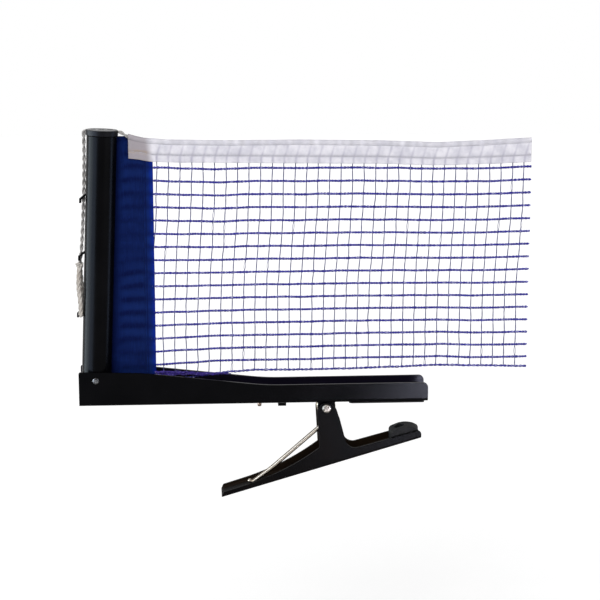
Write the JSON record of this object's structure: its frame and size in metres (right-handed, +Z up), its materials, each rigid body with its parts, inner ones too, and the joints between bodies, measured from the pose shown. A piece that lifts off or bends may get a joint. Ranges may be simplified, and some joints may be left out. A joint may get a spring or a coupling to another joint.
{
  "type": "table tennis net clamp",
  "caption": "Clip-on table tennis net clamp: sprung lever under a sheet steel channel arm, upright tube post with cord hooks, and the sleeved end of the net with its tension cord.",
  "frame": {"origin": "centre of the arm pad's underside, where the arm rests on the table top", "axes": "+X along the net towards the middle of the table, +Y across the arm, +Z up"},
  "size_m": [0.269, 0.0228, 0.2202],
  "materials": {
    "black_coat": "semi-gloss powder coat",
    "black_rubber": "matt",
    "plated_steel": "satin nickel",
    "spring_wire": "bright drawn wire",
    "black_plastic": "smooth moulding",
    "navy_cloth": "plain woven polyester",
    "blue_binding": "folded woven tape",
    "white_tape": "sewn woven tape",
    "blue_netting": "knotted twine",
    "cord": "twisted cotton cord"
  },
  "bodies": {
    "frame": {"arm_channel": "black_coat", "arm_pad": "black_rubber", "hinge_bracket": "black_coat", "post_rivet": "plated_steel", "pivot_rivet": "plated_steel", "pivot_spacer": "plated_steel", "torsion_spring": "spring_wire", "post_tube": "black_coat", "post_insert": "black_plastic", "post_cap": "black_plastic", "sleeve_rod": "black_plastic", "net_sleeve": "navy_cloth", "sleeve_binding": "blue_binding", "net_tape": "white_tape", "net_mesh": "blue_netting", "net_bottom_line": "blue_netting", "tension_cord": "cord"},
    "lever_set": {"lever": "black_coat", "jaw_pad": "black_rubber", "jaw_pad_rivet": "plated_steel"}
  },
  "joints": [
    {"name": "lever_hinge", "type": "hinge", "parent": "frame", "child": "lever_set", "pos_m": [-0.036, 0, -0.00305], "axis": [0, 1, 0], "range_deg": [-17, 32], "stiffness_Nm_per_rad": 3.4, "deforming": ["torsion_spring"]}
  ]
}
